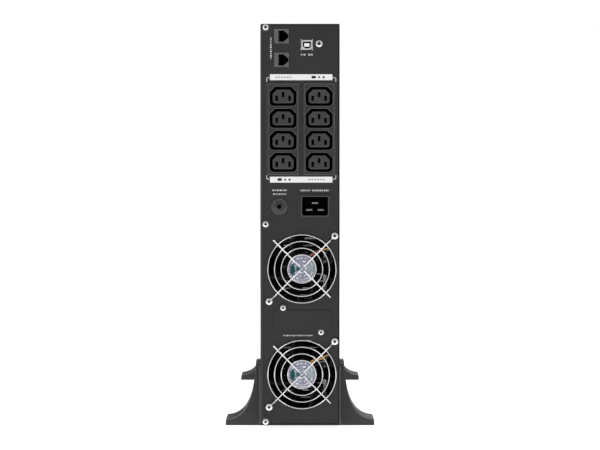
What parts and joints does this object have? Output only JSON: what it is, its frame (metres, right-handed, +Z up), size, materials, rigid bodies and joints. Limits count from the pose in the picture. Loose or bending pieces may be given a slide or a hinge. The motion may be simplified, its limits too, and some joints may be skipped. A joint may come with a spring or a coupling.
{
  "type": "rackmount ups",
  "caption": "Slim steel uninterruptible power supply on tower stands, with rear sockets, guarded fans, and a front with a turning round display and battery drawer.",
  "frame": {"origin": "centre of the object's footprint, on the floor plane that the stands rest on", "axes": "+Z up as the object stands as a tower, -Y towards the rear panel with the sockets, +Y towards the front with the display, +X to the right of someone who looks at the rear"},
  "size_m": [0.1654, 0.6, 0.4423],
  "materials": {
    "powder_coat": "satin",
    "dark_plastic": "matte",
    "black_plastic": "satin",
    "grey_plastic": "satin",
    "white_plastic": "satin",
    "chrome": "polished",
    "zinc": "satin",
    "aluminium": "satin",
    "circuit_board": "satin",
    "display_glass": "gloss",
    "red_wire": "satin",
    "battery_case": "matte"
  },
  "bodies": {
    "chassis": {"outer_cover": "powder_coat", "chassis_base": "powder_coat", "rear_panel": "powder_coat", "front_bulkhead": "zinc", "cover_screw_top": "zinc", "cover_screw_middle": "zinc", "cover_screw_bottom": "zinc", "outlet_bank_left": "dark_plastic", "outlet_bank_right": "dark_plastic", "output_label_top": "white_plastic", "output_label_bottom": "white_plastic", "inlet_housing": "dark_plastic", "inlet_blade_earth": "chrome", "inlet_blade_line": "chrome", "inlet_blade_neutral": "chrome", "breaker_body": "dark_plastic", "data_jack_upper": "grey_plastic", "data_jack_lower": "grey_plastic", "usb_shell": "zinc", "usb_tongue": "white_plastic", "usb_screw": "zinc", "slot_cover": "powder_coat", "slot_cover_screw_left": "zinc", "slot_cover_screw_right": "zinc", "fan_frame_upper": "black_plastic", "fan_frame_lower": "black_plastic", "fan_guard_upper": "chrome", "fan_guard_lower": "chrome", "fan_lead_upper": "red_wire", "fan_lead_lower": "red_wire", "guard_screw_upper_left": "zinc", "guard_screw_upper_right": "zinc", "guard_screw_lower_left": "zinc", "guard_screw_lower_right": "zinc", "stand_rear_left": "dark_plastic", "stand_rear_right": "dark_plastic", "stand_front_left": "dark_plastic", "stand_front_right": "dark_plastic", "main_board": "circuit_board", "heatsink_upper": "aluminium", "heatsink_lower": "aluminium", "transformer": "battery_case", "comms_board": "circuit_board"},
    "upper_rotor": {"fan_rotor_upper": "black_plastic"},
    "lower_rotor": {"fan_rotor_lower": "black_plastic"},
    "breaker_plunger": {"breaker_button": "black_plastic"},
    "battery_drawer": {"battery_tray": "zinc", "battery_1": "battery_case", "battery_2": "battery_case", "battery_3": "battery_case", "battery_4": "battery_case", "battery_5": "battery_case", "battery_6": "battery_case"},
    "bezel": {"front_bezel": "dark_plastic"},
    "display": {"display_dial": "black_plastic", "display_window": "display_glass", "display_board": "circuit_board"},
    "left_key": {"display_key_left": "grey_plastic"},
    "middle_key": {"display_key_middle": "grey_plastic"},
    "right_key": {"display_key_right": "grey_plastic"}
  },
  "joints": [
    {"name": "upper_fan_spin", "type": "hinge", "parent": "chassis", "child": "upper_rotor", "pos_m": [0.0021, -0.28, 0.1751], "axis": [0, 1, 0], "continuous": true},
    {"name": "lower_fan_spin", "type": "hinge", "parent": "chassis", "child": "lower_rotor", "pos_m": [0.0021, -0.28, 0.06], "axis": [0, 1, 0], "continuous": true},
    {"name": "breaker_trip", "type": "slide", "parent": "chassis", "child": "breaker_plunger", "axis": [0, -1, 0], "range_m": [0, 0.004]},
    {"name": "battery_slide", "type": "slide", "parent": "chassis", "child": "battery_drawer", "axis": [0, 1, 0], "range_m": [0, 0.27]},
    {"name": "bezel_pull", "type": "slide", "parent": "chassis", "child": "bezel", "axis": [0, 1, 0], "range_m": [0, 0.324]},
    {"name": "display_turn", "type": "hinge", "parent": "bezel", "child": "display", "pos_m": [0, 0.287, 0.3263], "axis": [0, 1, 0], "range_deg": [0, 90]},
    {"name": "left_key_press", "type": "slide", "parent": "display", "child": "left_key", "axis": [0, -1, 0], "range_m": [0, 0.0012], "stiffness_N_per_m": 300},
    {"name": "middle_key_press", "type": "slide", "parent": "display", "child": "middle_key", "axis": [0, -1, 0], "range_m": [0, 0.0012], "stiffness_N_per_m": 300},
    {"name": "right_key_press", "type": "slide", "parent": "display", "child": "right_key", "axis": [0, -1, 0], "range_m": [0, 0.0012], "stiffness_N_per_m": 300}
  ],
  "couplings": [
    {"joint": "bezel_pull", "follows": "battery_slide", "ratio": 1.2}
  ]
}
